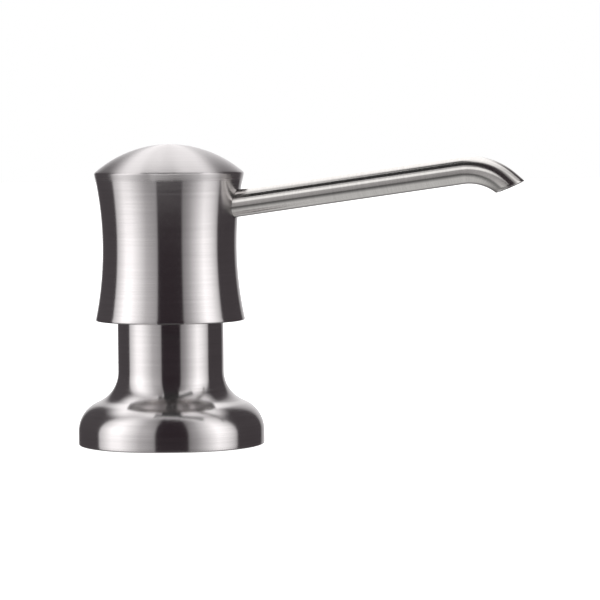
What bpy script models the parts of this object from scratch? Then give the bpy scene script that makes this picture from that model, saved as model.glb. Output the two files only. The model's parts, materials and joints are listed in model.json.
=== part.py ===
"""Deck-mounted soap pump dispenser, the unit that stands above the deck, with the pump inside it.

A waisted metal head with a domed top carries a slim bent spout. It swivels on the stem of a pump
cartridge and pushes it down against a spring. The cartridge drops into the neck of a bell-shaped
base and lifts out again for refilling from above.

Metres, +Z up. The origin is the middle of the deck hole, on the deck: the pump's axis is Z, and the
spout points along +X. All radii and heights below are measured from there, at rest.
"""

import math

import bmesh
import bpy
from mathutils import Matrix, Vector

MM = 0.001

# Driving dimensions
BASE_R = 26.1 * MM
NECK_R = 14.85 * MM
NECK_TOP = 38.5 * MM
BASE_WALL = 2.3 * MM
HEAD_BOTTOM = 34.7 * MM
HEAD_TOP = 84.0 * MM
DOME_R = 31.55 * MM
WAIST_R = 18.8 * MM
WAIST_Z = 55.4 * MM
WAIST_CURVE_R = 98.0 * MM
RIM_ROUND = 0.8 * MM
HEAD_WALL = 2.0 * MM
SPOUT_R = 3.8 * MM
SPOUT_WALL = 0.8 * MM
SPOUT_RISE = math.radians(7.86)
SPOUT_AXIS_Z = 64.7 * MM
SPOUT_BEND_X = 83.2 * MM
SPOUT_BEND_R = 15.9 * MM
SPOUT_BEND = math.radians(48.2)
SPOUT_TAIL = 1.4 * MM
SPOUT_CUT_SLOPE = math.radians(22.9)
STROKE = 15.0 * MM
CYLINDER_BORE_R = 6.6 * MM
STEM_R = 3.4 * MM

# Clearances: between pieces that touch on the real thing, and between pieces that slide
GAP = 0.3 * MM
SLIDE = 0.15 * MM
EDGE = 0.4 * MM

# Bell of the base: a hollow round under the neck, a short slope, and a full round to the lip
NECK_FILLET_R = 9.1 * MM
NECK_FILLET_Z = 20.45 * MM
SHOULDER_R = 8.8 * MM
SHOULDER_Z = 3.8 * MM

# Cartridge heights, from the collar on the neck down to the inlet spigot
COLLAR_Z = NECK_TOP + GAP
COLLAR_TOP = COLLAR_Z + 2.7 * MM
COLLAR_R = 14.4 * MM
COLLAR_SPIGOT_R = NECK_R - BASE_WALL - GAP
COLLAR_SPIGOT_Z = NECK_TOP - 6.0 * MM
COLLAR_RECESS_R = 10.8 * MM
HOUSING_R = 8.0 * MM
HOUSING_TOP = COLLAR_Z + 1.4 * MM
HOUSING_FLOOR = 6.8 * MM
SPIGOT_BOTTOM = 0.8 * MM
INLET_R = 1.7 * MM
CAGE_TOP = 12.2 * MM
CAGE_FLANGE = 8.2 * MM
INLET_BALL_R = 2.4 * MM
GUIDE_Z = NECK_TOP + 0.4 * MM
GUIDE_TOP = COLLAR_TOP - 0.2 * MM
PISTON_TOP = GUIDE_Z - GAP
PISTON_SEAT = 33.7 * MM
STEM_BORE_R = 1.7 * MM
STEM_TOP = 64.0 * MM
OUTLET_SEAT_Z = 58.3 * MM
OUTLET_SEAT_R = 1.05 * MM
OUTLET_BALL_R = 1.5 * MM
OUTLET_STOP_Z = 62.4 * MM

# Inside of the head, all of it above the collar by the stroke
LEDGE_Z = COLLAR_TOP + STROKE + 0.5 * MM
HEAD_BORE_R = 14.2 * MM
CIRCLIP_Z = LEDGE_Z + 0.6 * MM
CIRCLIP_THICK = 0.8 * MM
INSERT_Z = CIRCLIP_Z + CIRCLIP_THICK + 0.5 * MM
INSERT_TOP = 72.6 * MM
INSERT_R = HEAD_BORE_R - GAP
PORT_R = 3.05 * MM
PORT_START = 4.6 * MM
SPOUT_START = 8.4 * MM
BOSS_END = 12.6 * MM
SPOUT_RING_START = 10.0 * MM

SHELL_STEPS = 36
PLASTIC_STEPS = 24
SMALL_STEPS = 20

# Colour, roughness and metallic value of each finish
FINISHES = {
    "brushed_nickel": ((0.62, 0.60, 0.58, 1), 0.28, 1.0),
    "brass": ((0.78, 0.57, 0.27, 1), 0.32, 1.0),
    "spring_steel": ((0.60, 0.61, 0.63, 1), 0.22, 1.0),
    "polished_steel": ((0.72, 0.73, 0.75, 1), 0.08, 1.0),
    "white_plastic": ((0.86, 0.86, 0.84, 1), 0.42, 0.0),
    "clear_plastic": ((0.80, 0.84, 0.86, 1), 0.30, 0.0),
    "seal_rubber": ((0.03, 0.03, 0.03, 1), 0.62, 0.0),
}


# Outlines, as points (radius, height)


def arc(centre, radius, start, end, steps):
    """Points on a circle from angle start to angle end, in degrees, both ends included."""
    turns = [math.radians(start + (end - start) * i / steps) for i in range(steps + 1)]
    return [(centre[0] + radius * math.cos(a), centre[1] + radius * math.sin(a)) for a in turns]


def angle_of(centre, point):
    return math.degrees(math.atan2(point[1] - centre[1], point[0] - centre[0]))


def circles_meet(centre_a, radius_a, centre_b, radius_b):
    """The upper of the two points where two circles cross."""
    a, b = Vector(centre_a), Vector(centre_b)
    apart = (b - a).length
    along = (radius_a**2 - radius_b**2 + apart**2) / (2 * apart)
    aside = math.sqrt(radius_a**2 - along**2)
    unit = (b - a) / apart
    foot = a + unit * along
    side = Vector((-unit.y, unit.x)) * aside
    return max(foot + side, foot - side, key=lambda p: p.y)


def clockwise(outline):
    """The outline turned so that its outer side runs downwards, which makes a Screw face outwards."""
    pairs = zip(outline, outline[1:] + outline[:1])
    area = sum(p[0] * q[1] - q[0] * p[1] for p, q in pairs)
    return list(outline) if area < 0 else list(reversed(outline))


def bell_side(offset, steps):
    """The base's side from the neck to the lip, as it is at offset inside the outer surface."""
    upper = (NECK_R + NECK_FILLET_R, NECK_FILLET_Z)
    lower = (BASE_R - SHOULDER_R, SHOULDER_Z)
    between = Vector(upper) - Vector(lower)
    lean = math.degrees(math.acos((NECK_FILLET_R + SHOULDER_R) / between.length))
    tangent = math.degrees(math.atan2(between.y, between.x)) - lean
    hollow = arc(upper, NECK_FILLET_R + offset, 180, 180 + tangent, steps)
    full = arc(lower, SHOULDER_R - offset, tangent, 0, steps)
    return hollow + full


def waist_centre():
    return (WAIST_R + WAIST_CURVE_R, WAIST_Z)


def waist(offset, low, high, steps):
    """The head's hollow side from low up to high, as it is at offset inside the outer surface."""
    centre, radius = waist_centre(), WAIST_CURVE_R + offset
    bottom = 180 + math.degrees(math.asin((WAIST_Z - low) / radius))
    top = 180 - math.degrees(math.asin((high - WAIST_Z) / radius))
    return arc(centre, radius, bottom, top, steps)


def head_outside():
    """Dome, rounded rim and waist, from the top of the dome to the bottom of the skirt."""
    dome_centre = (0, HEAD_TOP - DOME_R)
    side_centre = waist_centre()
    rim = tuple(circles_meet(dome_centre, DOME_R - RIM_ROUND, side_centre, WAIST_CURVE_R + RIM_ROUND))
    on_dome = angle_of(dome_centre, rim)
    on_side = angle_of(rim, side_centre)
    side_top = side_centre[1] + WAIST_CURVE_R * math.sin(math.radians(180 + on_side))
    points = arc(dome_centre, DOME_R, 90, on_dome, 5)
    points[0] = (0, HEAD_TOP)
    points += arc(rim, RIM_ROUND, on_dome, on_side, 3)[1:]
    points += waist(0, HEAD_BOTTOM + EDGE, side_top, 6)[::-1][1:]
    return points


# Building


def settle(obj):
    """Applies the modifiers and shades the round faces smooth."""
    bpy.context.view_layer.update()
    evaluated = obj.evaluated_get(bpy.context.evaluated_depsgraph_get())
    mesh = bpy.data.meshes.new_from_object(evaluated)
    obj.modifiers.clear()
    obj.data = mesh
    mesh.shade_smooth()
    mesh.set_sharp_from_angle(angle=math.radians(32))


def add_object(name, mesh):
    obj = bpy.data.objects.new(name, mesh)
    bpy.data.collections["soap_dispenser"].objects.link(obj)
    return obj


def turned(name, outline, steps, lift=0.0):
    """A solid turned about Z from a closed outline, or from one that starts and ends on the axis."""
    points = clockwise(outline)
    on_axis = [p[0] == 0 for p in points]
    closed = not any(on_axis)
    if not closed:
        while not (points[0][0] == 0 and points[-1][0] == 0):
            points = points[1:] + points[:1]
    mesh = bpy.data.meshes.new(name)
    edges = [(i, i + 1) for i in range(len(points) - 1)]
    if closed:
        edges.append((len(points) - 1, 0))
    mesh.from_pydata([(r, 0, z + lift) for r, z in points], edges, [])
    obj = add_object(name, mesh)
    screw = obj.modifiers.new("turn", "SCREW")
    screw.axis = "Z"
    screw.steps = screw.render_steps = steps
    screw.use_merge_vertices = True
    screw.merge_threshold = 0.01 * MM
    return obj


def ring(name, inner, outer, bottom, top, steps):
    return turned(name, [(inner, top), (outer, top), (outer, bottom), (inner, bottom)], steps)


def ball(name, radius, height):
    mesh = bpy.data.meshes.new(name)
    shape = bmesh.new()
    bmesh.ops.create_uvsphere(shape, u_segments=16, v_segments=10, radius=radius)
    shape.to_mesh(mesh)
    shape.free()
    obj = add_object(name, mesh)
    obj.location = (0, 0, height)
    return obj


def o_ring(name, major, minor, place, tilt=0.0):
    """A torus about Z at place, or leaning by tilt about Y."""
    bpy.ops.mesh.primitive_torus_add(
        major_radius=major, minor_radius=minor, major_segments=24, minor_segments=6,
        location=place, rotation=(0, tilt, 0),
    )
    obj = bpy.context.object
    obj.name = name
    for collection in obj.users_collection:
        collection.objects.unlink(obj)
    bpy.data.collections["soap_dispenser"].objects.link(obj)
    return obj


def swept(name, points, radius, resolution):
    """A round bar along points, as a closed mesh: a bevelled curve with its caps welded on."""
    curve = bpy.data.curves.new(name, "CURVE")
    curve.dimensions = "3D"
    curve.bevel_depth = radius
    curve.bevel_resolution = resolution
    curve.use_fill_caps = True
    spline = curve.splines.new("POLY")
    spline.points.add(len(points) - 1)
    for knot, point in zip(spline.points, points):
        knot.co = (*point, 1)
    guide = add_object(name + "_curve", curve)
    bpy.context.view_layer.update()
    evaluated = guide.evaluated_get(bpy.context.evaluated_depsgraph_get())
    mesh = bpy.data.meshes.new_from_object(evaluated)
    shape = bmesh.new()
    shape.from_mesh(mesh)
    bmesh.ops.remove_doubles(shape, verts=shape.verts, dist=0.001 * MM)
    bmesh.ops.recalc_face_normals(shape, faces=shape.faces)
    shape.to_mesh(mesh)
    shape.free()
    obj = add_object(name, mesh)
    obj.matrix_world = guide.matrix_world
    bpy.data.objects.remove(guide)
    return obj


def as_cutter(obj):
    for collection in obj.users_collection:
        collection.objects.unlink(obj)
    bpy.data.collections["cutters"].objects.link(obj)
    obj.hide_render = True
    obj.display_type = "WIRE"
    return obj


def bar(name, radius, start, end, steps):
    """A cylinder from start to end."""
    run = Vector(end) - Vector(start)
    mesh = bpy.data.meshes.new(name)
    shape = bmesh.new()
    bmesh.ops.create_cone(
        shape, cap_ends=True, segments=steps, radius1=radius, radius2=radius, depth=run.length
    )
    shape.to_mesh(mesh)
    shape.free()
    obj = add_object(name, mesh)
    obj.location = (Vector(start) + Vector(end)) / 2
    obj.rotation_euler = run.to_track_quat("Z", "Y").to_euler()
    return obj


def block(name, size, place, turn=0.0, lean=0.0):
    """A box of that size, turned about Z, or leaning about Y."""
    mesh = bpy.data.meshes.new(name)
    shape = bmesh.new()
    bmesh.ops.create_cube(shape, size=1.0)
    bmesh.ops.scale(shape, vec=size, verts=shape.verts)
    shape.to_mesh(mesh)
    shape.free()
    obj = add_object(name, mesh)
    obj.location = place
    obj.rotation_euler = (0, lean, turn)
    return obj


def combine(obj, other, operation):
    """Cuts other from obj, joins them, or keeps what they share. The other object becomes a cutter."""
    boolean = obj.modifiers.new(other.name, "BOOLEAN")
    boolean.operation = operation
    boolean.solver = "EXACT"
    boolean.object = as_cutter(other)


def along_spout(distance):
    """The point on the spout's straight axis at that distance from the pump's axis."""
    return Vector(
        (distance * math.cos(SPOUT_RISE), 0, SPOUT_AXIS_Z + distance * math.sin(SPOUT_RISE))
    )


def spout_bend_end():
    """Middle of the bend's end and the way that the spout runs on from there."""
    start = along_spout(SPOUT_BEND_X / math.cos(SPOUT_RISE))
    lean = SPOUT_RISE - SPOUT_BEND
    centre = start + Vector((math.sin(SPOUT_RISE), 0, -math.cos(SPOUT_RISE))) * SPOUT_BEND_R
    end = centre + Vector((-math.sin(lean), 0, math.cos(lean))) * SPOUT_BEND_R
    return centre, end, Vector((math.cos(lean), 0, math.sin(lean)))


def spout_line(start, overrun):
    """The spout's centre line from start, through its bend, and overrun past its mouth."""
    centre, end, ahead = spout_bend_end()
    first = 90 + math.degrees(SPOUT_RISE)
    last = first - math.degrees(SPOUT_BEND)
    bend = arc((centre.x, centre.z), SPOUT_BEND_R, first, last, 10)
    points = [along_spout(start)] + [Vector((x, 0, z)) for x, z in bend]
    return points + [end + ahead * (SPOUT_TAIL + overrun)]


def trim_mouth(obj, recess):
    """Cuts the spout's end off level with its sloping mouth, or recess further back."""
    _, end, ahead = spout_bend_end()
    side = 30 * MM
    out = Vector((math.sin(SPOUT_CUT_SLOPE), 0, -math.cos(SPOUT_CUT_SLOPE)))
    place = end + ahead * SPOUT_TAIL + out * (side / 2 - recess)
    cutter = block(obj.name + "_mouth", (side, side, side), place, lean=-SPOUT_CUT_SLOPE)
    combine(obj, cutter, "DIFFERENCE")


# The base, which stands on the deck


def base_body():
    """Bell and neck in one, a wall of even thickness, open right through."""
    neck_in = NECK_R - BASE_WALL
    outline = [(neck_in + EDGE, NECK_TOP), (NECK_R - EDGE, NECK_TOP), (NECK_R, NECK_TOP - EDGE)]
    outline += bell_side(0, 4)
    outline += [(BASE_R, EDGE), (BASE_R - EDGE, 0), (BASE_R - BASE_WALL, 0)]
    outline += bell_side(BASE_WALL, 3)[::-1]
    outline.append((neck_in, NECK_TOP - EDGE))
    return turned("base_body", outline, SHELL_STEPS)


def base_gasket():
    """Flat rubber washer inside the lip, flush with the deck."""
    return ring("base_gasket", 17.5 * MM, BASE_R - BASE_WALL - GAP, 0, 1.8 * MM, SHELL_STEPS)


def shank_socket():
    """Threaded brass ring inside the bell, for the shank that comes up through the deck."""
    bore, wall, flange = NECK_R - BASE_WALL, 16.3 * MM, 21.5 * MM
    bottom, flange_top, top = 2.1 * MM, 3.9 * MM, 11.0 * MM
    pitch, depth, grooves = 2.0 * MM, 0.6 * MM, 4
    outline = [(bore, top), (wall, top), (wall, flange_top), (flange, flange_top)]
    outline += [(flange, bottom), (bore, bottom)]
    for i in range(grooves):
        start = bottom + pitch * (i + 0.3)
        outline += [(bore, start), (bore + depth, start + pitch / 4), (bore, start + pitch / 2)]
    return turned("shank_socket", outline, PLASTIC_STEPS)


# The cartridge, which drops into the neck


def cartridge_housing():
    """Pump cylinder with a flange at the top, and at the foot a ball seat and a barbed spigot."""
    flange_r = COLLAR_RECESS_R - GAP
    outline = [(CYLINDER_BORE_R, HOUSING_TOP), (flange_r, HOUSING_TOP)]
    outline += [(flange_r, COLLAR_Z + GAP), (HOUSING_R, COLLAR_Z + GAP), (HOUSING_R, 8.6 * MM)]
    outline += [(6.6 * MM, 5.4 * MM), (3.0 * MM, 4.8 * MM)]
    for barb_top in (3.6 * MM, 2.2 * MM):
        outline += [(3.0 * MM, barb_top), (3.5 * MM, barb_top), (3.0 * MM, barb_top - 1.1 * MM)]
    outline += [(2.8 * MM, SPIGOT_BOTTOM), (INLET_R, SPIGOT_BOTTOM)]
    seat_top = HOUSING_FLOOR - 1.2 * MM
    outline += [(INLET_R, seat_top), (INLET_R + 1.2 * MM, HOUSING_FLOOR)]
    outline += [(CYLINDER_BORE_R, HOUSING_FLOOR)]
    return turned("cartridge_housing", outline, PLASTIC_STEPS)


def cartridge_collar():
    """Cap that hangs the cylinder in the neck: a rim on the neck, a spigot with a groove inside it."""
    top, groove_r = COLLAR_TOP, COLLAR_SPIGOT_R - 1.2 * MM
    outline = [(COLLAR_RECESS_R, top), (COLLAR_R - EDGE, top), (COLLAR_R, top - EDGE)]
    outline += [(COLLAR_R, COLLAR_Z), (COLLAR_SPIGOT_R, COLLAR_Z)]
    outline += [(COLLAR_SPIGOT_R, 36.4 * MM), (groove_r, 36.4 * MM)]
    outline += [(groove_r, 34.6 * MM), (COLLAR_SPIGOT_R, 34.6 * MM)]
    outline += [(COLLAR_SPIGOT_R, COLLAR_SPIGOT_Z), (HOUSING_R + GAP, COLLAR_SPIGOT_Z)]
    outline += [(HOUSING_R + GAP, COLLAR_Z), (COLLAR_RECESS_R, COLLAR_Z)]
    return turned("cartridge_collar", outline, PLASTIC_STEPS)


def stem_guide():
    """Plug that closes the cylinder, guides the stem and stops the piston at the top of its stroke."""
    seal_room, bore = 5.0 * MM, STEM_R + 0.25 * MM
    shoulder = HOUSING_TOP + 0.2 * MM
    outline = [(bore, GUIDE_TOP), (COLLAR_RECESS_R - GAP, GUIDE_TOP)]
    outline += [(COLLAR_RECESS_R - GAP, shoulder), (CYLINDER_BORE_R - 0.25 * MM, shoulder)]
    outline += [(CYLINDER_BORE_R - 0.25 * MM, GUIDE_Z), (seal_room, GUIDE_Z)]
    outline += [(seal_room, GUIDE_TOP - 0.8 * MM), (bore, GUIDE_TOP - 0.8 * MM)]
    return turned("stem_guide", outline, PLASTIC_STEPS)


def stem_seal():
    bottom = GUIDE_Z + 0.2 * MM
    return ring("stem_seal", STEM_R + SLIDE, 4.8 * MM, bottom, bottom + 1.2 * MM, SMALL_STEPS)


def inlet_ball_cage():
    """Crown over the inlet ball: its flange seats the spring, and its windows let the soap past."""
    inner, outer, hole, flange = 3.0 * MM, 3.8 * MM, 1.4 * MM, 6.3 * MM
    foot = HOUSING_FLOOR + GAP
    outline = [(hole, CAGE_TOP), (outer - 0.6 * MM, CAGE_TOP), (outer, CAGE_TOP - 0.6 * MM)]
    outline += [(outer, CAGE_FLANGE), (flange, CAGE_FLANGE), (flange, foot), (inner, foot)]
    outline += [(inner, CAGE_TOP - 0.9 * MM), (hole, CAGE_TOP - 0.9 * MM)]
    cage = turned("inlet_ball_cage", outline, SMALL_STEPS)
    window = (10 * MM, 1.8 * MM, 2.2 * MM)
    for i in range(2):
        place = (0, 0, CAGE_FLANGE + 1.5 * MM)
        cutter = block(f"cage_window_{i}", window, place, turn=math.radians(45 + 90 * i))
        combine(cage, cutter, "DIFFERENCE")
    return cage


def return_spring():
    """Compression spring between the cage and the piston, its end turns closed up."""
    wire, coil = 0.45 * MM, 5.25 * MM
    bottom = CAGE_FLANGE + SLIDE + wire
    top = PISTON_SEAT - SLIDE - wire
    closed_pitch, end_turns, active_turns, knots = 1.1 * MM, 1, 5.5, 11
    open_pitch = (top - bottom - 2 * end_turns * closed_pitch) / active_turns
    points = []
    height = bottom
    turns = 2 * end_turns + active_turns
    for i in range(round(turns * knots) + 1):
        turn = i / knots
        points.append((coil * math.cos(2 * math.pi * turn), coil * math.sin(2 * math.pi * turn), height))
        in_ends = turn < end_turns or turn >= turns - end_turns
        height += (closed_pitch if in_ends else open_pitch) / knots
    return swept("return_spring", points, wire, 1)


# The plunger, which the hand pushes down


def piston_core():
    """Plunger that carries the seal. Its foot centres the spring, and its spigot plugs the stem."""
    groove_r, seat_r, foot_r, spigot_r = 3.8 * MM, 6.2 * MM, 4.3 * MM, 2.35 * MM
    groove = (PISTON_SEAT + 1.4 * MM, PISTON_TOP - 0.9 * MM)
    outline = [(STEM_BORE_R, PISTON_TOP + 4.6 * MM), (spigot_r, PISTON_TOP + 4.6 * MM)]
    outline += [(spigot_r, PISTON_TOP), (5.4 * MM, PISTON_TOP), (5.4 * MM, groove[1])]
    outline += [(groove_r, groove[1]), (groove_r, groove[0]), (seat_r, groove[0])]
    outline += [(seat_r, PISTON_SEAT), (foot_r, PISTON_SEAT), (foot_r, PISTON_SEAT - 2.6 * MM)]
    outline += [(foot_r - 0.6 * MM, PISTON_SEAT - 3.2 * MM), (STEM_BORE_R, PISTON_SEAT - 3.2 * MM)]
    return turned("piston_core", outline, SMALL_STEPS)


def piston_seal():
    """Soft sleeve with a lip at each end that wipes the cylinder."""
    inner, lip = 4.0 * MM, CYLINDER_BORE_R - SLIDE
    low, high = PISTON_SEAT + 1.6 * MM, PISTON_TOP - 1.1 * MM
    outline = [(inner, high), (lip - 0.2 * MM, high), (lip, high - 0.5 * MM)]
    outline += [(lip - 0.5 * MM, (low + high) / 2), (lip, low + 0.5 * MM)]
    outline += [(lip - 0.2 * MM, low), (inner, low)]
    return turned("piston_seal", outline, PLASTIC_STEPS)


def pump_stem():
    """Hollow stem. Near its top the bore narrows to the outlet ball's seat, then opens round the ball."""
    bottom, plug_top, chamber = PISTON_TOP + SLIDE, PISTON_TOP + 4.8 * MM, 2.1 * MM
    outline = [(chamber, STEM_TOP), (STEM_R - EDGE, STEM_TOP), (STEM_R, STEM_TOP - EDGE)]
    outline += [(STEM_R, bottom), (2.5 * MM, bottom), (2.5 * MM, plug_top), (STEM_BORE_R, plug_top)]
    outline += [(STEM_BORE_R, OUTLET_SEAT_Z - 1.3 * MM), (OUTLET_SEAT_R, OUTLET_SEAT_Z - 0.7 * MM)]
    outline += [(OUTLET_SEAT_R, OUTLET_SEAT_Z), (chamber, OUTLET_SEAT_Z + chamber - OUTLET_SEAT_R)]
    return turned("pump_stem", outline, SMALL_STEPS)


def outlet_ball_stop():
    """Small ring in the stem's mouth that keeps the outlet ball in."""
    return ring("outlet_ball_stop", 0.9 * MM, 1.95 * MM, OUTLET_STOP_Z, STEM_TOP - EDGE, SMALL_STEPS)


def resting_height(seat_r, seat_z, radius):
    """Height of a ball's centre on the edge of a round seat, with a hair's gap."""
    return seat_z + math.sqrt(radius**2 - seat_r**2) + 0.12 * MM


# The head, which swivels on the stem


def head_shell():
    """Domed and waisted cap. Its skirt slides down round the neck, and its bore holds the insert."""
    groove = (CIRCLIP_Z - GAP, CIRCLIP_Z + CIRCLIP_THICK + GAP)
    cavity_r, bore_top = 12.5 * MM, INSERT_TOP + GAP
    roof_r = DOME_R - 3.2 * MM
    roof_centre = (0, HEAD_TOP - DOME_R)
    skirt = waist(HEAD_WALL, HEAD_BOTTOM, LEDGE_Z, 3)
    roof_start = math.degrees(math.acos(cavity_r / roof_r))
    outline = head_outside()
    outline += [(outline[-1][0] - EDGE, HEAD_BOTTOM)]
    outline += skirt
    outline += [(HEAD_BORE_R, LEDGE_Z), (HEAD_BORE_R, groove[0]), (HEAD_BORE_R + 1.2 * MM, groove[0])]
    outline += [(HEAD_BORE_R + 1.2 * MM, groove[1]), (HEAD_BORE_R, groove[1])]
    outline += [(HEAD_BORE_R, bore_top), (cavity_r, bore_top)]
    outline += arc(roof_centre, roof_r, roof_start, 90, 3)[:-1]
    outline += [(0, roof_centre[1] + roof_r)]
    shell = turned("head_shell", outline, SHELL_STEPS)
    hole = bar("spout_hole", SPOUT_R + SLIDE, along_spout(9 * MM), along_spout(27 * MM), SMALL_STEPS)
    combine(shell, hole, "DIFFERENCE")
    return shell


def head_insert():
    """Plastic core of the head: a hub with two flanges, a socket for the stem and a port for the spout."""
    hub, plate, socket, duct = 6.6 * MM, 1.8 * MM, STEM_R + 0.2 * MM, 1.8 * MM
    groove_r, groove = socket + 1.1 * MM, (INSERT_Z + 1.2 * MM, INSERT_Z + 2.8 * MM)
    socket_top = STEM_TOP + GAP
    outline = [(0, INSERT_TOP), (INSERT_R, INSERT_TOP), (INSERT_R, INSERT_TOP - plate)]
    outline += [(hub, INSERT_TOP - plate), (hub, INSERT_Z + plate), (INSERT_R, INSERT_Z + plate)]
    outline += [(INSERT_R, INSERT_Z), (socket, INSERT_Z), (socket, groove[0]), (groove_r, groove[0])]
    outline += [(groove_r, groove[1]), (socket, groove[1]), (socket, socket_top)]
    outline += [(duct, socket_top), (duct, socket_top + 3.2 * MM), (0, socket_top + 3.2 * MM)]
    insert = turned("head_insert", outline, PLASTIC_STEPS)
    boss = bar("port_boss", 6.3 * MM, along_spout(4.2 * MM), along_spout(BOSS_END), PLASTIC_STEPS)
    combine(insert, boss, "UNION")
    room = bar("insert_room", INSERT_R, (0, 0, INSERT_Z), (0, 0, INSERT_TOP), 48)
    combine(insert, room, "INTERSECT")
    bores = (
        ("duct", duct, 0.5 * MM, PORT_START + 0.5 * MM),
        ("liner_port", PORT_R, PORT_START, SPOUT_START),
        ("tube_port", SPOUT_R + SLIDE, SPOUT_START - SLIDE, BOSS_END + 4 * MM),
        ("ring_port", SPOUT_R + 1.3 * MM, SPOUT_RING_START, BOSS_END + 4 * MM),
    )
    for name, radius, start, end in bores:
        hole = bar(name, radius, along_spout(start), along_spout(end), SMALL_STEPS)
        combine(insert, hole, "DIFFERENCE")
    return insert


def insert_circlip():
    """Split spring ring in the head's groove that holds the insert up in its bore."""
    inner, outer = HEAD_BORE_R - 1.6 * MM, HEAD_BORE_R + 0.9 * MM
    clip = ring("insert_circlip", inner, outer, CIRCLIP_Z, CIRCLIP_Z + CIRCLIP_THICK, PLASTIC_STEPS)
    place = (-(inner + outer) / 2, 0, CIRCLIP_Z)
    combine(clip, block("circlip_split", (6 * MM, 6.5 * MM, 4 * MM), place), "DIFFERENCE")
    return clip


def skirt_guide_ring():
    """Plastic ring inside the skirt that keeps it off the neck, notched to let air past."""
    bottom, top, neck = HEAD_BOTTOM + 0.6 * MM, HEAD_BOTTOM + 3.5 * MM, NECK_R + GAP
    (low_r, _), (top_r, _) = waist(HEAD_WALL + GAP, bottom, top, 1)
    outline = [(neck, top), (top_r, top), (low_r, bottom), (neck + EDGE, bottom)]
    outline += [(neck, bottom + EDGE)]
    guide = turned("skirt_guide_ring", outline, 28)
    notches = 3
    for i in range(notches):
        size, place = (44 * MM, 3 * MM, 1.6 * MM), (0, 0, top)
        notch = block(f"air_notch_{i}", size, place, turn=math.pi * (i + 0.5) / notches)
        combine(guide, notch, "DIFFERENCE")
    return guide


def spout_tube():
    """Bent metal tube with a sloping mouth."""
    tube = swept("spout_tube", spout_line(SPOUT_START, 6 * MM), SPOUT_R, 6)
    bore = swept("spout_bore", spout_line(SPOUT_START - 2 * MM, 8 * MM), SPOUT_R - SPOUT_WALL, 5)
    combine(tube, bore, "DIFFERENCE")
    trim_mouth(tube, 0)
    return tube


def spout_liner():
    """Plastic tube inside the spout that carries the soap, a little short of the mouth."""
    outer = SPOUT_R - SPOUT_WALL - 0.2 * MM
    start = PORT_START + 0.2 * MM
    liner = swept("spout_liner", spout_line(start, 6 * MM), outer, 4)
    bore = swept("liner_bore", spout_line(start - 2 * MM, 8 * MM), outer - 0.8 * MM, 3)
    combine(liner, bore, "DIFFERENCE")
    trim_mouth(liner, 1.5 * MM)
    return liner


# Assembly


def finish(obj, look):
    colour, roughness, metallic = FINISHES[look]
    material = bpy.data.materials.new(f"{obj.name}_{look}")
    material.use_nodes = True
    shader = material.node_tree.nodes["Principled BSDF"]
    shader.inputs["Base Color"].default_value = colour
    shader.inputs["Roughness"].default_value = roughness
    shader.inputs["Metallic"].default_value = metallic
    obj.data.materials.clear()
    obj.data.materials.append(material)


def axis_empty(name, height, parent):
    """An empty on the pump's axis that the pieces of one moving body are parented to."""
    empty = bpy.data.objects.new(name, None)
    bpy.data.collections["soap_dispenser"].objects.link(empty)
    empty.empty_display_size = 5 * MM
    empty.parent = parent
    empty.location = (0, 0, height - (parent.matrix_world.translation.z if parent else 0))
    bpy.context.view_layer.update()
    return empty


def gather(pieces, parent):
    """Settles, colours and parents the pieces of one body, which stay where they are."""
    for obj, look in pieces:
        settle(obj)
        finish(obj, look)
        if parent:
            obj.parent = parent
            obj.matrix_parent_inverse = parent.matrix_world.inverted()


def main():
    for obj in list(bpy.data.objects):
        bpy.data.objects.remove(obj)
    for name in ("soap_dispenser", "cutters"):
        collection = bpy.data.collections.new(name)
        bpy.context.scene.collection.children.link(collection)

    cartridge = axis_empty("cartridge_lift_axis", COLLAR_Z, None)
    plunger = axis_empty("pump_press_axis", GUIDE_TOP, cartridge)
    head = axis_empty("head_swivel_axis", INSERT_Z, plunger)

    gather(
        (
            (base_body(), "brushed_nickel"),
            (base_gasket(), "seal_rubber"),
            (shank_socket(), "brass"),
        ),
        None,
    )
    collar_ring_z = 35.5 * MM
    collar_ring = o_ring("collar_o_ring", COLLAR_SPIGOT_R - 0.5 * MM, 0.62 * MM, (0, 0, collar_ring_z))
    gather(
        (
            (cartridge_housing(), "clear_plastic"),
            (cartridge_collar(), "white_plastic"),
            (collar_ring, "seal_rubber"),
            (stem_guide(), "white_plastic"),
            (stem_seal(), "seal_rubber"),
            (inlet_ball_cage(), "white_plastic"),
            (return_spring(), "spring_steel"),
        ),
        cartridge,
    )
    inlet_z = resting_height(INLET_R, HOUSING_FLOOR - 1.2 * MM, INLET_BALL_R)
    gather(((ball("inlet_ball", INLET_BALL_R, inlet_z), "polished_steel"),), cartridge)
    gather(
        (
            (pump_stem(), "white_plastic"),
            (piston_core(), "white_plastic"),
            (piston_seal(), "clear_plastic"),
            (outlet_ball_stop(), "white_plastic"),
        ),
        plunger,
    )
    outlet_z = resting_height(OUTLET_SEAT_R, OUTLET_SEAT_Z, OUTLET_BALL_R)
    gather(((ball("outlet_ball", OUTLET_BALL_R, outlet_z), "polished_steel"),), plunger)
    stem_ring = o_ring("stem_o_ring", STEM_R + 0.65 * MM, 0.5 * MM, (0, 0, INSERT_Z + 2.0 * MM))
    spout_ring_place = along_spout(SPOUT_RING_START + 0.8 * MM)
    spout_ring_tilt = math.pi / 2 - SPOUT_RISE
    spout_ring = o_ring("spout_o_ring", SPOUT_R + 0.65 * MM, 0.5 * MM, spout_ring_place, spout_ring_tilt)
    gather(
        (
            (head_shell(), "brushed_nickel"),
            (head_insert(), "white_plastic"),
            (stem_ring, "seal_rubber"),
            (insert_circlip(), "spring_steel"),
            (skirt_guide_ring(), "white_plastic"),
            (spout_tube(), "brushed_nickel"),
            (spout_liner(), "clear_plastic"),
            (spout_ring, "seal_rubber"),
        ),
        head,
    )


main()
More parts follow.
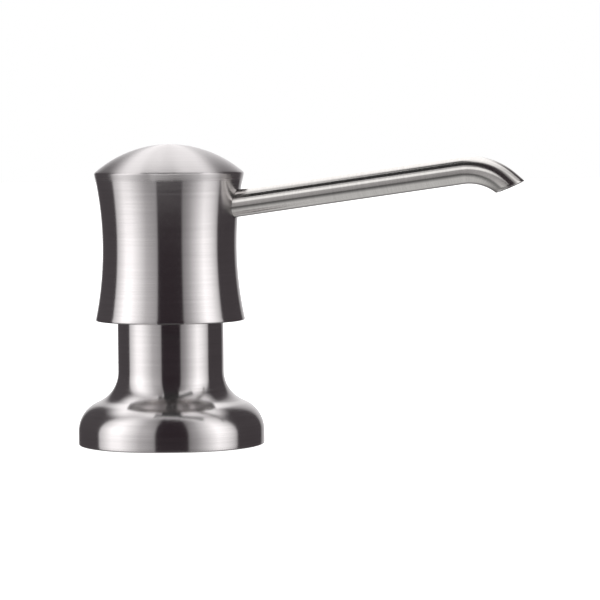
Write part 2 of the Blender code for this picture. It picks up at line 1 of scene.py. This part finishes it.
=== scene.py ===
"""The looks of the deck-mounted soap pump dispenser.

Three fine brushed-metal skins and a spring stand for their CAD pieces. The other
pieces keep their CAD meshes and get materials. A camera, a floor and a plain studio go round them.
"""

import json
import math

import bmesh
import bpy
from mathutils import Matrix, Vector

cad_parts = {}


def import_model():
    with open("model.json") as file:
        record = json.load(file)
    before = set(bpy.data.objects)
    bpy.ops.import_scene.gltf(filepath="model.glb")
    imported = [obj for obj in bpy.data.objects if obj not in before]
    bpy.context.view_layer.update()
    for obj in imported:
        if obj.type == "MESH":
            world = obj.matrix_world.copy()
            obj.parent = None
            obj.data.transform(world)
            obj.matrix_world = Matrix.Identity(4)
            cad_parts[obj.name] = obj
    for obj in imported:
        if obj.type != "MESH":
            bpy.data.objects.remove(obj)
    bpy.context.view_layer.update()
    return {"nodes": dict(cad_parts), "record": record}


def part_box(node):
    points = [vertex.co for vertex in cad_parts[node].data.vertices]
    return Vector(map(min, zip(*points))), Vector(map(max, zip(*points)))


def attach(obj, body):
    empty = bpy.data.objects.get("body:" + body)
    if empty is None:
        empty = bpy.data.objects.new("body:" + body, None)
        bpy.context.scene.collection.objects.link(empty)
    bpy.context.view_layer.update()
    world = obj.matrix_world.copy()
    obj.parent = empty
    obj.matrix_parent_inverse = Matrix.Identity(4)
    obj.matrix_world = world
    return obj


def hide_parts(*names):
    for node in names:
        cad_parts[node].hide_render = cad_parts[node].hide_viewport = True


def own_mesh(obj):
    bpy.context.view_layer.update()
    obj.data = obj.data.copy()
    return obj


MM = 0.001

# The object's own sizes, as in its CAD
BASE_R, BASE_WALL = 26.1 * MM, 2.3 * MM
NECK_R, NECK_TOP = 14.85 * MM, 38.5 * MM
NECK_FILLET_R, NECK_FILLET_Z = 9.1 * MM, 20.45 * MM
SHOULDER_R, SHOULDER_Z = 8.8 * MM, 3.8 * MM
HEAD_BOTTOM, HEAD_TOP, HEAD_WALL = 34.7 * MM, 84.0 * MM, 2.0 * MM
DOME_R, RIM_ROUND = 31.55 * MM, 0.8 * MM
WAIST_R, WAIST_Z, WAIST_CURVE_R = 18.8 * MM, 55.4 * MM, 98.0 * MM
HEAD_BORE_R, LEDGE_Z, BORE_TOP = 14.2 * MM, 57.0 * MM, 72.9 * MM
GROOVE_Z, GROOVE_TOP, GROOVE_R = 57.3 * MM, 58.7 * MM, 15.4 * MM
CAVITY_R, ROOF_R = 12.5 * MM, 28.35 * MM
SPOUT_R, SPOUT_WALL = 3.8 * MM, 0.8 * MM
SPOUT_RISE = math.radians(7.86)
SPOUT_AXIS_Z, SPOUT_START = 64.7 * MM, 8.4 * MM
SPOUT_BEND_X, SPOUT_BEND_R = 83.2 * MM, 15.9 * MM
SPOUT_BEND, SPOUT_TAIL = math.radians(48.2), 1.4 * MM
SPOUT_CUT_SLOPE = math.radians(22.9)
EDGE = 0.4 * MM
DOME_FOOT = 73.6 * MM
SPRING_WIRE_R, SPRING_R, SPRING_END_PITCH = 0.45 * MM, 5.25 * MM, 1.1 * MM
SPRING_END_TURNS, SPRING_ACTIVE_TURNS = 1, 5.5

# Camera, measured from the pump's axis on the deck
CAMERA_AZIMUTH = math.radians(17.0)
CAMERA_DISTANCE = 790 * MM
CAMERA_HEIGHT = 83.1 * MM
AIM_RIGHT, AIM_HEIGHT = 36.4 * MM, 40.0 * MM
CAMERA_LENS = 169.1
CAMERA_ROLL = math.radians(-0.46)

# Finish of the metal: the spread of what it mirrors, sharper across the sides than on the dome
BRUSHED_ROUGHNESS, DOME_ROUGHNESS, BRUSHED_ANISOTROPY = 0.17, 0.33, 0.92
NICKEL, TUBE_NICKEL = (0.645, 0.62, 0.62), (0.64, 0.62, 0.60)

BLACK_CARD = 0.03

TURNED_STEPS = 160
UV_PER_METRE = 10


# Outlines, as points (radius, height)


def arc(centre, radius, start, end, steps):
    """Points on a circle from angle start to angle end, in degrees, both ends included."""
    turns = [math.radians(start + (end - start) * i / steps) for i in range(steps + 1)]
    return [(centre[0] + radius * math.cos(a), centre[1] + radius * math.sin(a)) for a in turns]


def angle_of(centre, point):
    """The direction of point from centre, in degrees."""
    return math.degrees(math.atan2(point[1] - centre[1], point[0] - centre[0]))


def circles_meet(centre_a, radius_a, centre_b, radius_b):
    """The upper of the two points where two circles cross."""
    a, b = Vector(centre_a), Vector(centre_b)
    apart = (b - a).length
    along = (radius_a**2 - radius_b**2 + apart**2) / (2 * apart)
    aside = math.sqrt(radius_a**2 - along**2)
    unit = (b - a) / apart
    foot = a + unit * along
    side = Vector((-unit.y, unit.x)) * aside
    return max(foot + side, foot - side, key=lambda p: p.y)


def bell_side(offset, steps):
    """From the neck down over the bell: a hollow arc, then a full one, at an offset inwards."""
    upper = (NECK_R + NECK_FILLET_R, NECK_FILLET_Z)
    lower = (BASE_R - SHOULDER_R, SHOULDER_Z)
    between = Vector(upper) - Vector(lower)
    lean = math.degrees(math.acos((NECK_FILLET_R + SHOULDER_R) / between.length))
    tangent = math.degrees(math.atan2(between.y, between.x)) - lean
    hollow = arc(upper, NECK_FILLET_R + offset, 180, 180 + tangent, steps)
    full = arc(lower, SHOULDER_R - offset, tangent, 0, steps)
    return hollow + full


def waist_centre():
    return (WAIST_R + WAIST_CURVE_R, WAIST_Z)


def waist(offset, low, high, steps):
    """The head's side from height low up to height high, at an offset inwards."""
    centre, radius = waist_centre(), WAIST_CURVE_R + offset
    bottom = 180 + math.degrees(math.asin((WAIST_Z - low) / radius))
    top = 180 - math.degrees(math.asin((high - WAIST_Z) / radius))
    return arc(centre, radius, bottom, top, steps)


def straight(start, end, steps):
    return [tuple(Vector(start).lerp(Vector(end), i / steps)) for i in range(steps + 1)]


def base_outline():
    """Neck, bell and lip outside, and the even wall inside."""
    neck_in = NECK_R - BASE_WALL
    outline = arc((NECK_R - EDGE, NECK_TOP - EDGE), EDGE, 90, 0, 4)
    outline += straight((NECK_R, NECK_TOP - EDGE), (NECK_R, NECK_FILLET_Z), 16)[1:-1]
    outline += bell_side(0, 22)
    outline += straight((BASE_R, SHOULDER_Z), (BASE_R, EDGE), 4)[1:-1]
    outline += arc((BASE_R - EDGE, EDGE), EDGE, 0, -90, 4)
    outline.append((BASE_R - BASE_WALL, 0))
    outline += bell_side(BASE_WALL, 10)[::-1]
    outline += arc((neck_in + EDGE, NECK_TOP - EDGE), EDGE, 180, 90, 3)
    return outline


def head_outline():
    """Dome, rounded rim and waist outside, and the skirt, ledge, groove, bore and roof inside."""
    dome_centre = (0, HEAD_TOP - DOME_R)
    side_centre = waist_centre()
    dome_in, side_out = DOME_R - RIM_ROUND, WAIST_CURVE_R + RIM_ROUND
    rim = tuple(circles_meet(dome_centre, dome_in, side_centre, side_out))
    on_dome, on_side = angle_of(dome_centre, rim), angle_of(rim, side_centre)
    side_top = side_centre[1] + WAIST_CURVE_R * math.sin(math.radians(180 + on_side))
    outline = arc(dome_centre, DOME_R, 90, on_dome, 26)
    outline[0] = (0, HEAD_TOP)
    outline += arc(rim, RIM_ROUND, on_dome, on_side, 8)[1:]
    outline += waist(0, HEAD_BOTTOM + EDGE, side_top, 40)[::-1][1:]
    foot = outline[-1][0]
    outline += arc((foot - EDGE, HEAD_BOTTOM + EDGE), EDGE, 0, -90, 4)[1:]
    outline += waist(HEAD_WALL, HEAD_BOTTOM, LEDGE_Z, 8)
    outline += [(HEAD_BORE_R, LEDGE_Z), (HEAD_BORE_R, GROOVE_Z), (GROOVE_R, GROOVE_Z)]
    outline += [(GROOVE_R, GROOVE_TOP), (HEAD_BORE_R, GROOVE_TOP), (HEAD_BORE_R, BORE_TOP)]
    roof_start = math.degrees(math.acos(CAVITY_R / ROOF_R))
    outline += [(CAVITY_R, BORE_TOP)] + arc(dome_centre, ROOF_R, roof_start, 90, 6)[:-1]
    outline.append((0, dome_centre[1] + ROOF_R))
    return outline


# Meshes


def add_mesh(name, shape):
    mesh = bpy.data.meshes.new(name)
    bmesh.ops.recalc_face_normals(shape, faces=shape.faces)
    shape.to_mesh(mesh)
    shape.free()
    obj = bpy.data.objects.new(name, mesh)
    bpy.context.scene.collection.objects.link(obj)
    return obj


def shade(obj):
    obj.data.shade_smooth()
    obj.data.set_sharp_from_angle(angle=math.radians(35))


def turned(name, outline):
    """A solid turned about Z from an outline that closes, or that starts and ends on the axis."""
    shape = bmesh.new()
    verts = [shape.verts.new((r, 0, z)) for r, z in outline]
    pairs = list(zip(verts, verts[1:]))
    if outline[0][0] > 0:
        pairs.append((verts[-1], verts[0]))
    edges = [shape.edges.new(pair) for pair in pairs]
    bmesh.ops.spin(
        shape,
        geom=verts + edges,
        cent=(0, 0, 0),
        axis=(0, 0, 1),
        angle=2 * math.pi,
        steps=TURNED_STEPS,
    )
    bmesh.ops.remove_doubles(shape, verts=shape.verts, dist=0.001 * MM)
    return add_mesh(name, shape)


def head_with_hole():
    """The head, with the hole that the spout goes through."""
    head = turned("head_skin", head_outline())
    hole_r, centre, depth = SPOUT_R + 0.15 * MM, 18 * MM, 18 * MM
    hole = bpy.data.meshes.new("spout_hole")
    shape = bmesh.new()
    bmesh.ops.create_cone(
        shape, cap_ends=True, segments=64, radius1=hole_r, radius2=hole_r, depth=depth
    )
    shape.to_mesh(hole)
    shape.free()
    cutter = bpy.data.objects.new("spout_hole", hole)
    bpy.context.scene.collection.objects.link(cutter)
    cutter.location = along_spout(centre)
    cutter.rotation_euler = (0, math.pi / 2 - SPOUT_RISE, 0)
    boolean = head.modifiers.new("spout_hole", "BOOLEAN")
    boolean.object = cutter
    boolean.solver = "EXACT"
    bpy.context.view_layer.update()
    graph = bpy.context.evaluated_depsgraph_get()
    cut = bpy.data.meshes.new_from_object(head.evaluated_get(graph))
    head.modifiers.clear()
    head.data = cut
    bpy.data.objects.remove(cutter)
    return head


def along_spout(distance):
    """A point on the spout's straight axis, at that distance from the pump's axis."""
    ahead = Vector((math.cos(SPOUT_RISE), 0, math.sin(SPOUT_RISE)))
    return Vector((0, 0, SPOUT_AXIS_Z)) + ahead * distance


def spout_point(length, radius, turn):
    """The point at that length along a tube of that radius round the spout's centre line."""
    run = SPOUT_BEND_X / math.cos(SPOUT_RISE)
    bent = min(SPOUT_BEND, max(0.0, length - run) / SPOUT_BEND_R)
    lean = SPOUT_RISE - bent
    ahead = Vector((math.cos(lean), 0, math.sin(lean)))
    up = Vector((-math.sin(lean), 0, math.cos(lean)))
    start_up = Vector((-math.sin(SPOUT_RISE), 0, math.cos(SPOUT_RISE)))
    centre = along_spout(run) + (up - start_up) * SPOUT_BEND_R
    centre += ahead * (length - run - bent * SPOUT_BEND_R)
    return centre + (up * math.cos(turn) + Vector((0, 1, 0)) * math.sin(turn)) * radius


def mouth_length(radius, turn, recess):
    """How far along the spout that line of the tube runs before it meets the sloping mouth."""
    run = SPOUT_BEND_X / math.cos(SPOUT_RISE) + SPOUT_BEND * SPOUT_BEND_R
    mouth = spout_point(run + SPOUT_TAIL, 0, 0)
    out = Vector((math.sin(SPOUT_CUT_SLOPE), 0, -math.cos(SPOUT_CUT_SLOPE)))
    low, high = run - 12 * MM, run + 12 * MM
    # forty halvings leave nothing of the gap
    for _ in range(40):
        middle = (low + high) / 2
        if (spout_point(middle, radius, turn) - mouth).dot(out) + recess > 0:
            high = middle
        else:
            low = middle
    return low


def spout_skin():
    """The bent tube, wall and all. Its UV map lays out the brushing: U runs along the tube."""
    around, straight_rings, bend_rings = 64, 40, 28
    inner, soft = SPOUT_R - SPOUT_WALL, 0.12 * MM
    lip = [(SPOUT_R - 0.3 * soft, 0.3 * soft), (SPOUT_R - soft, 0)]
    lip += [(inner + soft, 0), (inner + 0.3 * soft, 0.3 * soft)]
    shape = bmesh.new()
    layout = shape.loops.layers.uv.new("brushing")
    straight_end = SPOUT_BEND_X - 4 * MM
    turns = [2 * math.pi * i / around for i in range(around)]
    rings, marks = [], []

    def ring(lengths, radius, mark):
        places = [spout_point(length, radius, a) for length, a in zip(lengths, turns)]
        rings.append([shape.verts.new(place) for place in places])
        marks.append(mark)

    def straight_ring(length, radius):
        ring([length] * around, radius, length)

    def bent_rings(radius, recess, fractions):
        ends = [mouth_length(radius, a, recess) for a in turns]
        for f in fractions:
            lengths = [straight_end + (end - straight_end) * f for end in ends]
            mark = straight_end + (sum(ends) / around - straight_end) * f
            ring(lengths, radius, mark)

    for i in range(straight_rings):
        straight_ring(SPOUT_START + (straight_end - SPOUT_START) * i / straight_rings, SPOUT_R)
    bent_rings(SPOUT_R, soft, [i / bend_rings for i in range(bend_rings + 1)])
    for radius, recess in lip:
        bent_rings(radius, recess, [1])
    bent_rings(inner, soft, [1 - i / bend_rings for i in range(bend_rings + 1)])
    for i in range(1, straight_rings + 1):
        straight_ring(straight_end + (SPOUT_START - straight_end) * i / straight_rings, inner)

    count = len(rings)
    for i in range(count):
        a, b = rings[i], rings[(i + 1) % count]
        for j in range(around):
            k = (j + 1) % around
            face = shape.faces.new((a[j], a[k], b[k], b[j]))
            corners = ((i, j), (i, j + 1), ((i + 1) % count, j + 1), ((i + 1) % count, j))
            for loop, (m, n) in zip(face.loops, corners):
                loop[layout].uv = (marks[m] * UV_PER_METRE, n / around)
    return add_mesh("spout_skin", shape)


def coil_spring():
    """The return spring, with its end turns closed up, and the heights of its two ends."""
    steps, sides = 40, 12
    low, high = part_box("return_spring")
    bottom, top = low[2] + SPRING_WIRE_R, high[2] - SPRING_WIRE_R
    closed = 2 * SPRING_END_TURNS * SPRING_END_PITCH
    open_pitch = (top - bottom - closed) / SPRING_ACTIVE_TURNS
    turns = 2 * SPRING_END_TURNS + SPRING_ACTIVE_TURNS
    shape = bmesh.new()
    rings = []
    height = bottom
    for i in range(round(turns * steps) + 1):
        around = 2 * math.pi * i / steps
        ring = []
        for j in range(sides):
            b = 2 * math.pi * j / sides
            r = SPRING_R + SPRING_WIRE_R * math.cos(b)
            z = height + SPRING_WIRE_R * math.sin(b)
            ring.append(shape.verts.new((r * math.cos(around), r * math.sin(around), z)))
        rings.append(ring)
        in_ends = i < SPRING_END_TURNS * steps or i >= (turns - SPRING_END_TURNS) * steps
        height += (SPRING_END_PITCH if in_ends else open_pitch) / steps
    for one, other in zip(rings, rings[1:]):
        for j in range(sides):
            k = (j + 1) % sides
            shape.faces.new((one[j], one[k], other[k], other[j]))
    shape.faces.new(rings[0])
    shape.faces.new(rings[-1])
    return add_mesh("return_spring_wire", shape), low[2], high[2]


# Materials


class Nodes:
    """A few shorthands for building one material's nodes."""

    def __init__(self, material):
        material.use_nodes = True
        self.tree = material.node_tree
        self.tree.nodes.clear()

    def add(self, kind, inputs=None, **settings):
        node = self.tree.nodes.new(kind)
        for name, value in settings.items():
            setattr(node, name, value)
        for name, value in (inputs or {}).items():
            self.put(node, name, value)
        return node

    def put(self, node, name, value):
        socket = node.inputs[name]
        if isinstance(value, bpy.types.NodeSocket):
            self.tree.links.new(value, socket)
        else:
            socket.default_value = value

    def maths(self, operation, *values):
        node = self.add("ShaderNodeMath", operation=operation)
        for i, value in enumerate(values):
            self.put(node, i, value)
        return node.outputs[0]

    def span(self, value, low, high, to_low, to_high, smooth=False):
        node = self.add("ShaderNodeMapRange", {0: value, 1: low, 2: high, 3: to_low, 4: to_high})
        if smooth:
            node.interpolation_type = "SMOOTHSTEP"
        return node.outputs[0]

    def noise(self, place, scale, detail):
        inputs = {"Vector": place, "Scale": scale, "Detail": detail}
        return self.add("ShaderNodeTexNoise", inputs).outputs[0]

    def mix(self, factor, first, second, blend_type="MIX"):
        sockets = {0: factor, 6: first, 7: second}
        node = self.add("ShaderNodeMix", sockets, data_type="RGBA", blend_type=blend_type)
        return node.outputs[2]

    def ramp(self, value, stops):
        node = self.add("ShaderNodeValToRGB", {0: value})
        elements = node.color_ramp.elements
        elements[0].position, elements[1].position = stops[0][0], stops[-1][0]
        for position, _ in stops[1:-1]:
            elements.new(position)
        for element, (_, colour) in zip(elements, stops):
            element.color = colour if len(colour) == 4 else (*colour, 1)
        return node.outputs[0]


def grey(level):
    return (level, level, level, 1)


def brushed_metal(name, colour, along_u=False, dome=False):
    """Metal brushed in fine lines, which spread what it mirrors across them.

    The lines go round the axis, or with along_u along the brushing UV map. With dome, the metal
    is rougher above the foot of the head's dome.
    """
    material = bpy.data.materials.new(name)
    nodes = Nodes(material)
    place = nodes.add("ShaderNodeTexCoord").outputs["Object"]
    if along_u:
        uv = nodes.add("ShaderNodeUVMap", uv_map="brushing").outputs[0]
        u = nodes.add("ShaderNodeSeparateXYZ", {0: uv}).outputs[0]
        across = nodes.maths("MULTIPLY", u, 1 / UV_PER_METRE)
        tangent = nodes.add("ShaderNodeTangent", direction_type="UV_MAP", uv_map="brushing")
    else:
        axes = nodes.add("ShaderNodeSeparateXYZ", {0: place}).outputs
        flat = nodes.add("ShaderNodeCombineXYZ", {0: axes[0], 1: axes[1]}).outputs[0]
        radius = nodes.add("ShaderNodeVectorMath", {0: flat}, operation="LENGTH").outputs["Value"]
        across = nodes.maths("SUBTRACT", axes[2], radius)
        tangent = nodes.add("ShaderNodeTangent", direction_type="RADIAL", axis="Z")

    def lines(per_metre, wander):
        noise = nodes.add(
            "ShaderNodeTexNoise",
            {
                "Vector": place,
                "W": nodes.maths("MULTIPLY", across, per_metre / wander),
                "Scale": wander,
                "Detail": 2,
                "Roughness": 0.6,
            },
            noise_dimensions="4D",
        )
        return noise.outputs[0]

    fine = lines(3200, 50)
    broad = lines(700, 20)
    wear = nodes.noise(place, 40, 4)
    fine, broad = nodes.maths("MULTIPLY", fine, 0.6), nodes.maths("MULTIPLY", broad, 0.4)
    both = nodes.maths("ADD", fine, broad)
    tint = nodes.ramp(
        both,
        [
            (0.3, [c * 0.93 for c in colour]),
            (0.5, colour),
            (0.7, [min(1.0, c * 1.07) for c in colour]),
        ],
    )
    rough = nodes.maths(
        "ADD",
        nodes.span(both, 0.3, 0.7, BRUSHED_ROUGHNESS * 0.93, BRUSHED_ROUGHNESS * 1.07),
        nodes.span(wear, 0.3, 0.7, -0.006, 0.006),
    )
    if dome:
        extra = DOME_ROUGHNESS - BRUSHED_ROUGHNESS
        on_dome = nodes.span(axes[2], DOME_FOOT, DOME_FOOT + 1 * MM, 0, extra)
        rough = nodes.maths("ADD", rough, on_dome)
    bump = nodes.add("ShaderNodeBump", {"Strength": 0.04, "Distance": 0.02 * MM, "Height": both})
    shader = nodes.add(
        "ShaderNodeBsdfPrincipled",
        {
            "Base Color": tint,
            "Metallic": 1.0,
            "Roughness": rough,
            "Anisotropic": BRUSHED_ANISOTROPY,
            "Anisotropic Rotation": 0.0 if along_u else 0.25,
            "Tangent": tangent.outputs[0],
            "Normal": bump.outputs[0],
        },
    )
    nodes.add("ShaderNodeOutputMaterial", {0: shader.outputs[0]})
    return material


def moulded(name, colour, roughness, grain, transmission=0.0, subsurface=0.0):
    """Moulded plastic or rubber: slight clouding of its colour, and a fine skin.

    The skin is smoother on clear plastic, where it would break up what is seen through it.
    """
    material = bpy.data.materials.new(name)
    nodes = Nodes(material)
    place = nodes.add("ShaderNodeTexCoord").outputs["Object"]
    cloud = nodes.noise(place, 120, 3)
    skin = nodes.noise(place, grain, 2)
    tint = nodes.ramp(cloud, [(0.3, [c * 0.94 for c in colour]), (0.7, colour)])
    depth = 0.25 * (1 - 2 * transmission)
    bump = nodes.add(
        "ShaderNodeBump", {"Strength": depth, "Distance": 0.03 * MM, "Height": skin}
    )
    shader = nodes.add(
        "ShaderNodeBsdfPrincipled",
        {
            "Base Color": tint,
            "Roughness": nodes.span(skin, 0.3, 0.7, roughness * 0.9, roughness * 1.1),
            "Transmission Weight": transmission,
            "Subsurface Weight": subsurface,
            "Subsurface Scale": 2 * MM,
            "Normal": bump.outputs[0],
        },
    )
    nodes.add("ShaderNodeOutputMaterial", {0: shader.outputs[0]})
    return material


def bare_metal(name, colour, roughness, scale):
    """Drawn, machined or polished metal, with faint marks."""
    material = bpy.data.materials.new(name)
    nodes = Nodes(material)
    place = nodes.add("ShaderNodeTexCoord").outputs["Object"]
    marks = nodes.noise(place, scale, 4)
    tint = nodes.ramp(marks, [(0.3, [c * 0.88 for c in colour]), (0.7, colour)])
    shader = nodes.add(
        "ShaderNodeBsdfPrincipled",
        {
            "Base Color": tint,
            "Metallic": 1.0,
            "Roughness": nodes.span(marks, 0.3, 0.7, roughness * 0.8, roughness * 1.2),
        },
    )
    nodes.add("ShaderNodeOutputMaterial", {0: shader.outputs[0]})
    return material


# Studio


def towards_camera():
    return Vector((math.sin(CAMERA_AZIMUTH), -math.cos(CAMERA_AZIMUTH), 0))


def right_of_camera():
    return Vector((math.cos(CAMERA_AZIMUTH), math.sin(CAMERA_AZIMUTH), 0))


def studio():
    """The light: a world that depends on direction only, and looks plain white to the camera.

    Azimuths are in degrees from the camera's side of the pump, positive to its right.
    """
    world = bpy.data.worlds.new("studio")
    bpy.context.scene.world = world
    nodes = Nodes(world)
    ray = nodes.add("ShaderNodeTexCoord").outputs["Generated"]
    turned_ray = nodes.add(
        "ShaderNodeVectorRotate", {"Vector": ray, "Angle": -CAMERA_AZIMUTH}, rotation_type="Z_AXIS"
    ).outputs[0]
    axes = nodes.add("ShaderNodeSeparateXYZ", {0: turned_ray}).outputs
    azimuth = nodes.maths("ARCTAN2", axes[0], nodes.maths("MULTIPLY", axes[1], -1.0))
    azimuth = nodes.span(azimuth, -math.pi, math.pi, 0, 1)
    elevation = nodes.maths("DEGREES", nodes.maths("ARCSINE", axes[2]))

    def round_about(stops):
        return nodes.ramp(azimuth, [(0.5 + degrees / 360, grey(level)) for degrees, level in stops])

    # brightness: softboxes left and right of a black gap in front, and grey flags at both sides
    walls = round_about(
        [
            (-180, 1.1),
            (-166, 0.6),
            (-159, 0.085),
            (-103, 0.085),
            (-100.5, 0.85),
            (-92, 1.2),
            (-80, 1.75),
            (-68, 1.75),
            (-52, 1.15),
            (-40, 0.7),
            (-21.5, 0.45),
            (-20, 0.025),
            (20, 0.025),
            (21.5, 0.30),
            (32, 0.52),
            (44, 0.98),
            (60, 1.7),
            (70, 1.5),
            (80, 1.1),
            (88, 0.65),
            (89.5, 0.07),
            (146, 0.07),
            (150, 0.4),
            (164, 0.75),
            (180, 1.1),
        ]
    )
    # the elevation, as a share of 90 degrees, up to which they reach
    tops = round_about(
        [
            (-180, 5 / 90),
            (-165, 30 / 90),
            (-150, 43 / 90),
            (-104, 50 / 90),
            (-98, 62 / 90),
            (-40, 66 / 90),
            (-21, 76 / 90),
            (21, 76 / 90),
            (40, 66 / 90),
            (84, 60 / 90),
            (92, 51 / 90),
            (130, 54 / 90),
            (148, 52 / 90),
            (162, 34 / 90),
            (180, 5 / 90),
        ]
    )
    # they are brightest a little above level, and fade upwards and downwards
    off_middle = nodes.maths("DIVIDE", nodes.maths("SUBTRACT", elevation, 18.0), 65.0)
    falloff = nodes.maths("SUBTRACT", 1.0, nodes.maths("MULTIPLY", off_middle, off_middle))
    walls = nodes.mix(1.0, walls, falloff, "MULTIPLY")
    # soft light overhead, stronger behind the pump
    over_top = nodes.maths("SUBTRACT", elevation, nodes.maths("MULTIPLY", tops, 90.0))
    over_top = nodes.span(over_top, -9, 9, 0, 1, smooth=True)
    behind = nodes.span(axes[1], -0.05, 0.45, 0, 0.8, smooth=True)
    overhead = nodes.span(elevation, 60, 82, 0.75, 1.3, smooth=True)
    overhead = nodes.maths("MINIMUM", nodes.maths("ADD", overhead, behind), 1.6)
    lit = nodes.mix(over_top, walls, overhead)
    # a glow off the floor, the room's faint colour, and the floor itself
    glow = nodes.span(elevation, -26, -6, 0.07, 0, smooth=True)
    lit = nodes.mix(1.0, lit, glow, "ADD")
    lit = nodes.mix(1.0, lit, (0.009, 0.0, 0.005, 1.0), "ADD")
    ground = nodes.span(elevation, -65, -32, 0.7, 0.13, smooth=True)
    under = nodes.span(elevation, -32, -23, 1, 0, smooth=True)
    lit = nodes.mix(under, lit, ground)
    seen = nodes.add("ShaderNodeLightPath").outputs["Is Camera Ray"]
    shader = nodes.add("ShaderNodeBackground", {0: nodes.mix(seen, lit, grey(1.0))})
    nodes.add("ShaderNodeOutputWorld", {0: shader.outputs[0]})


def card(name, outline, strength):
    """A flat card close to the pump, black or softly lit, that is seen only in reflections."""
    shape = bmesh.new()
    shape.faces.new([shape.verts.new(point) for point in outline])
    obj = add_mesh(name, shape)
    material = bpy.data.materials.new(name)
    nodes = Nodes(material)
    shader = nodes.add("ShaderNodeEmission", {"Color": grey(1.0), "Strength": strength})
    nodes.add("ShaderNodeOutputMaterial", {0: shader.outputs[0]})
    obj.data.materials.append(material)
    obj.visible_camera = False
    obj.visible_diffuse = False
    obj.visible_shadow = False


def beside_spout(name, azimuth, elevation, distance, length, width, strength):
    """A card that runs along the spout, out in the direction given from the camera's side."""
    turn = CAMERA_AZIMUTH + math.radians(azimuth)
    rise = math.radians(elevation)
    level = Vector((math.sin(turn), -math.cos(turn), 0))
    away = level * math.cos(rise) + Vector((0, 0, math.sin(rise)))
    along = along_spout(1) - along_spout(0)
    centre = along_spout(60 * MM) + away * distance
    half = away.cross(along).normalized() * width / 2
    reach = along * length / 2
    near, far = centre - half, centre + half
    card(name, [near - reach, near + reach, far + reach, far - reach], strength)


def cards():
    """Cards that the spout mirrors in bands, one overhead, and one that darkens the neck's foot."""
    beside_spout("spout_flag", -50, 46, 60 * MM, 110 * MM, 28 * MM, BLACK_CARD)
    beside_spout("spout_reflector", -35, 14, 45 * MM, 100 * MM, 14 * MM, 1.3)

    ahead, aside = towards_camera(), right_of_camera()
    radius, centre = 38 * MM, ahead * (56 * MM) + Vector((0, 0, 280 * MM))
    turns = [math.radians(15 * i) for i in range(24)]
    disc = [centre + Vector((math.cos(a), math.sin(a), 0)) * radius for a in turns]
    card("top_flag", disc, BLACK_CARD)

    corners = [(19, -4.0), (25, -5.6), (25, 5.6), (19, 4.0)]
    up = Vector((0, 0, 30 * MM))
    outline = [ahead * (r * MM) + aside * (x * MM) + up for r, x in corners]
    card("neck_flag", outline, BLACK_CARD)


def floor():
    """A plain white floor, a hair under the deck plane, that shines enough to lose its edges."""
    shape = bmesh.new()
    bmesh.ops.create_circle(shape, cap_ends=True, segments=96, radius=6.0)
    obj = add_mesh("floor", shape)
    obj.location.z = -0.05 * MM
    material = bpy.data.materials.new("floor_white")
    nodes = Nodes(material)
    shader = nodes.add(
        "ShaderNodeBsdfPrincipled",
        {
            "Base Color": grey(0.8),
            "Roughness": 0.9,
            "Specular IOR Level": 0.0,
            "Emission Color": grey(1.0),
            "Emission Strength": 0.92,
        },
    )
    nodes.add("ShaderNodeOutputMaterial", {0: shader.outputs[0]})
    obj.data.materials.append(material)
    obj.visible_glossy = False
    obj.visible_diffuse = False


def camera():
    """The camera in front of the pump, a little above its dome, with a long lens."""
    data = bpy.data.cameras.new("camera")
    obj = bpy.data.objects.new("camera", data)
    bpy.context.scene.collection.objects.link(obj)
    aim = right_of_camera() * AIM_RIGHT + Vector((0, 0, AIM_HEIGHT))
    obj.location = towards_camera() * CAMERA_DISTANCE + Vector((0, 0, CAMERA_HEIGHT))
    turn = (aim - obj.location).to_track_quat("-Z", "Y").to_matrix()
    obj.rotation_euler = (turn @ Matrix.Rotation(CAMERA_ROLL, 3, "Z")).to_euler()
    data.sensor_width = 36
    data.lens = CAMERA_LENS
    data.clip_start, data.clip_end = 0.01, 50
    bpy.context.scene.camera = obj


def main():
    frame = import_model()
    scene = bpy.context.scene
    scene.view_settings.view_transform = "Standard"
    scene.view_settings.look = "None"

    camera()
    studio()
    floor()
    cards()

    nickel = brushed_metal("brushed_nickel", NICKEL, dome=True)
    tube_nickel = brushed_metal("brushed_nickel_tube", TUBE_NICKEL, along_u=True)
    looks = {
        "socket_brass": bare_metal("machined_brass", (0.80, 0.58, 0.28), 0.30, 900),
        "spring_steel": bare_metal("drawn_steel", (0.58, 0.58, 0.59), 0.24, 1500),
        "polished_steel": bare_metal("polished_steel", (0.70, 0.71, 0.73), 0.07, 500),
        "white_plastic": moulded("white_plastic", (0.86, 0.86, 0.84), 0.42, 1800, subsurface=0.15),
        "clear_plastic": moulded("milky_plastic", (0.90, 0.92, 0.93), 0.28, 900, 0.35, 0.3),
        "seal_rubber": moulded("seal_rubber", (0.028, 0.028, 0.03), 0.6, 2500),
        "plated_plastic": brushed_metal("plated_plastic", TUBE_NICKEL),
    }

    base = turned("base_skin", base_outline())
    shade(base)
    base.data.materials.append(nickel)
    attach(base, "base")
    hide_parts("base_body")

    head = head_with_hole()
    shade(head)
    head.data.materials.clear()
    head.data.materials.append(nickel)
    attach(head, "head")
    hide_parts("head_shell")

    spout = spout_skin()
    shade(spout)
    spout.data.materials.append(tube_nickel)
    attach(spout, "head")
    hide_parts("spout_tube")

    spring, foot, head_end = coil_spring()
    shade(spring)
    spring.data.materials.append(looks["spring_steel"])
    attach(spring, "cartridge")
    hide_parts("return_spring")
    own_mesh(spring)

    slots = {part["node"]: part["material_slot"] for part in frame["record"]["subparts"]}
    # the bell mirrors this ring, so it is shown plated
    slots["skirt_guide_ring"] = "plated_plastic"
    for node, obj in frame["nodes"].items():
        if slots[node] in looks:
            obj.data.materials.clear()
            obj.data.materials.append(looks[slots[node]])


main()
